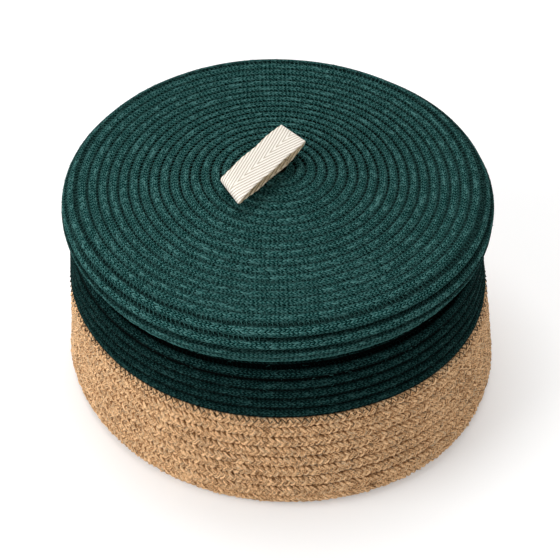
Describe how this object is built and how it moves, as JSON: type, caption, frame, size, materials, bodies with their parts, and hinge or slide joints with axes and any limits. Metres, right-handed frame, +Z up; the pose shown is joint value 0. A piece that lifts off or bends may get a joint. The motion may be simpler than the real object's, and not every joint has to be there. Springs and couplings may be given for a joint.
{
  "type": "lidded coiled rope basket",
  "caption": "Round basket of coiled jute and green cotton rope, with a coiled rope lid that lifts off by a loop of herringbone tape.",
  "frame": {"origin": "centre of the underside, on the surface that the basket stands on", "axes": "+Z up; +X along the tape of the loop on the lid, +Y across it"},
  "size_m": [0.2902, 0.3011, 0.1809],
  "materials": {
    "jute": "three-strand braided jute, dry and slightly glossy, with fine loose fibres",
    "green_cotton": "knitted dark green cotton cord, matt, sewn turn to turn with green thread",
    "dark_thread": "dark green sewing thread in a zigzag",
    "cream_tape": "cream cotton herringbone tape, matt, with cut and slightly frayed ends"
  },
  "bodies": {
    "basket": {"jute_base": "jute", "jute_wall": "jute", "cotton_wall": "green_cotton", "seam_thread": "dark_thread"},
    "lid": {"lid_coil": "green_cotton", "tape_loop": "cream_tape", "tack_thread": "cream_tape"}
  },
  "joints": [
    {"name": "lid_lift", "type": "slide", "parent": "basket", "child": "lid", "axis": [0, 0, 1], "range_m": [0, 0.1]}
  ]
}
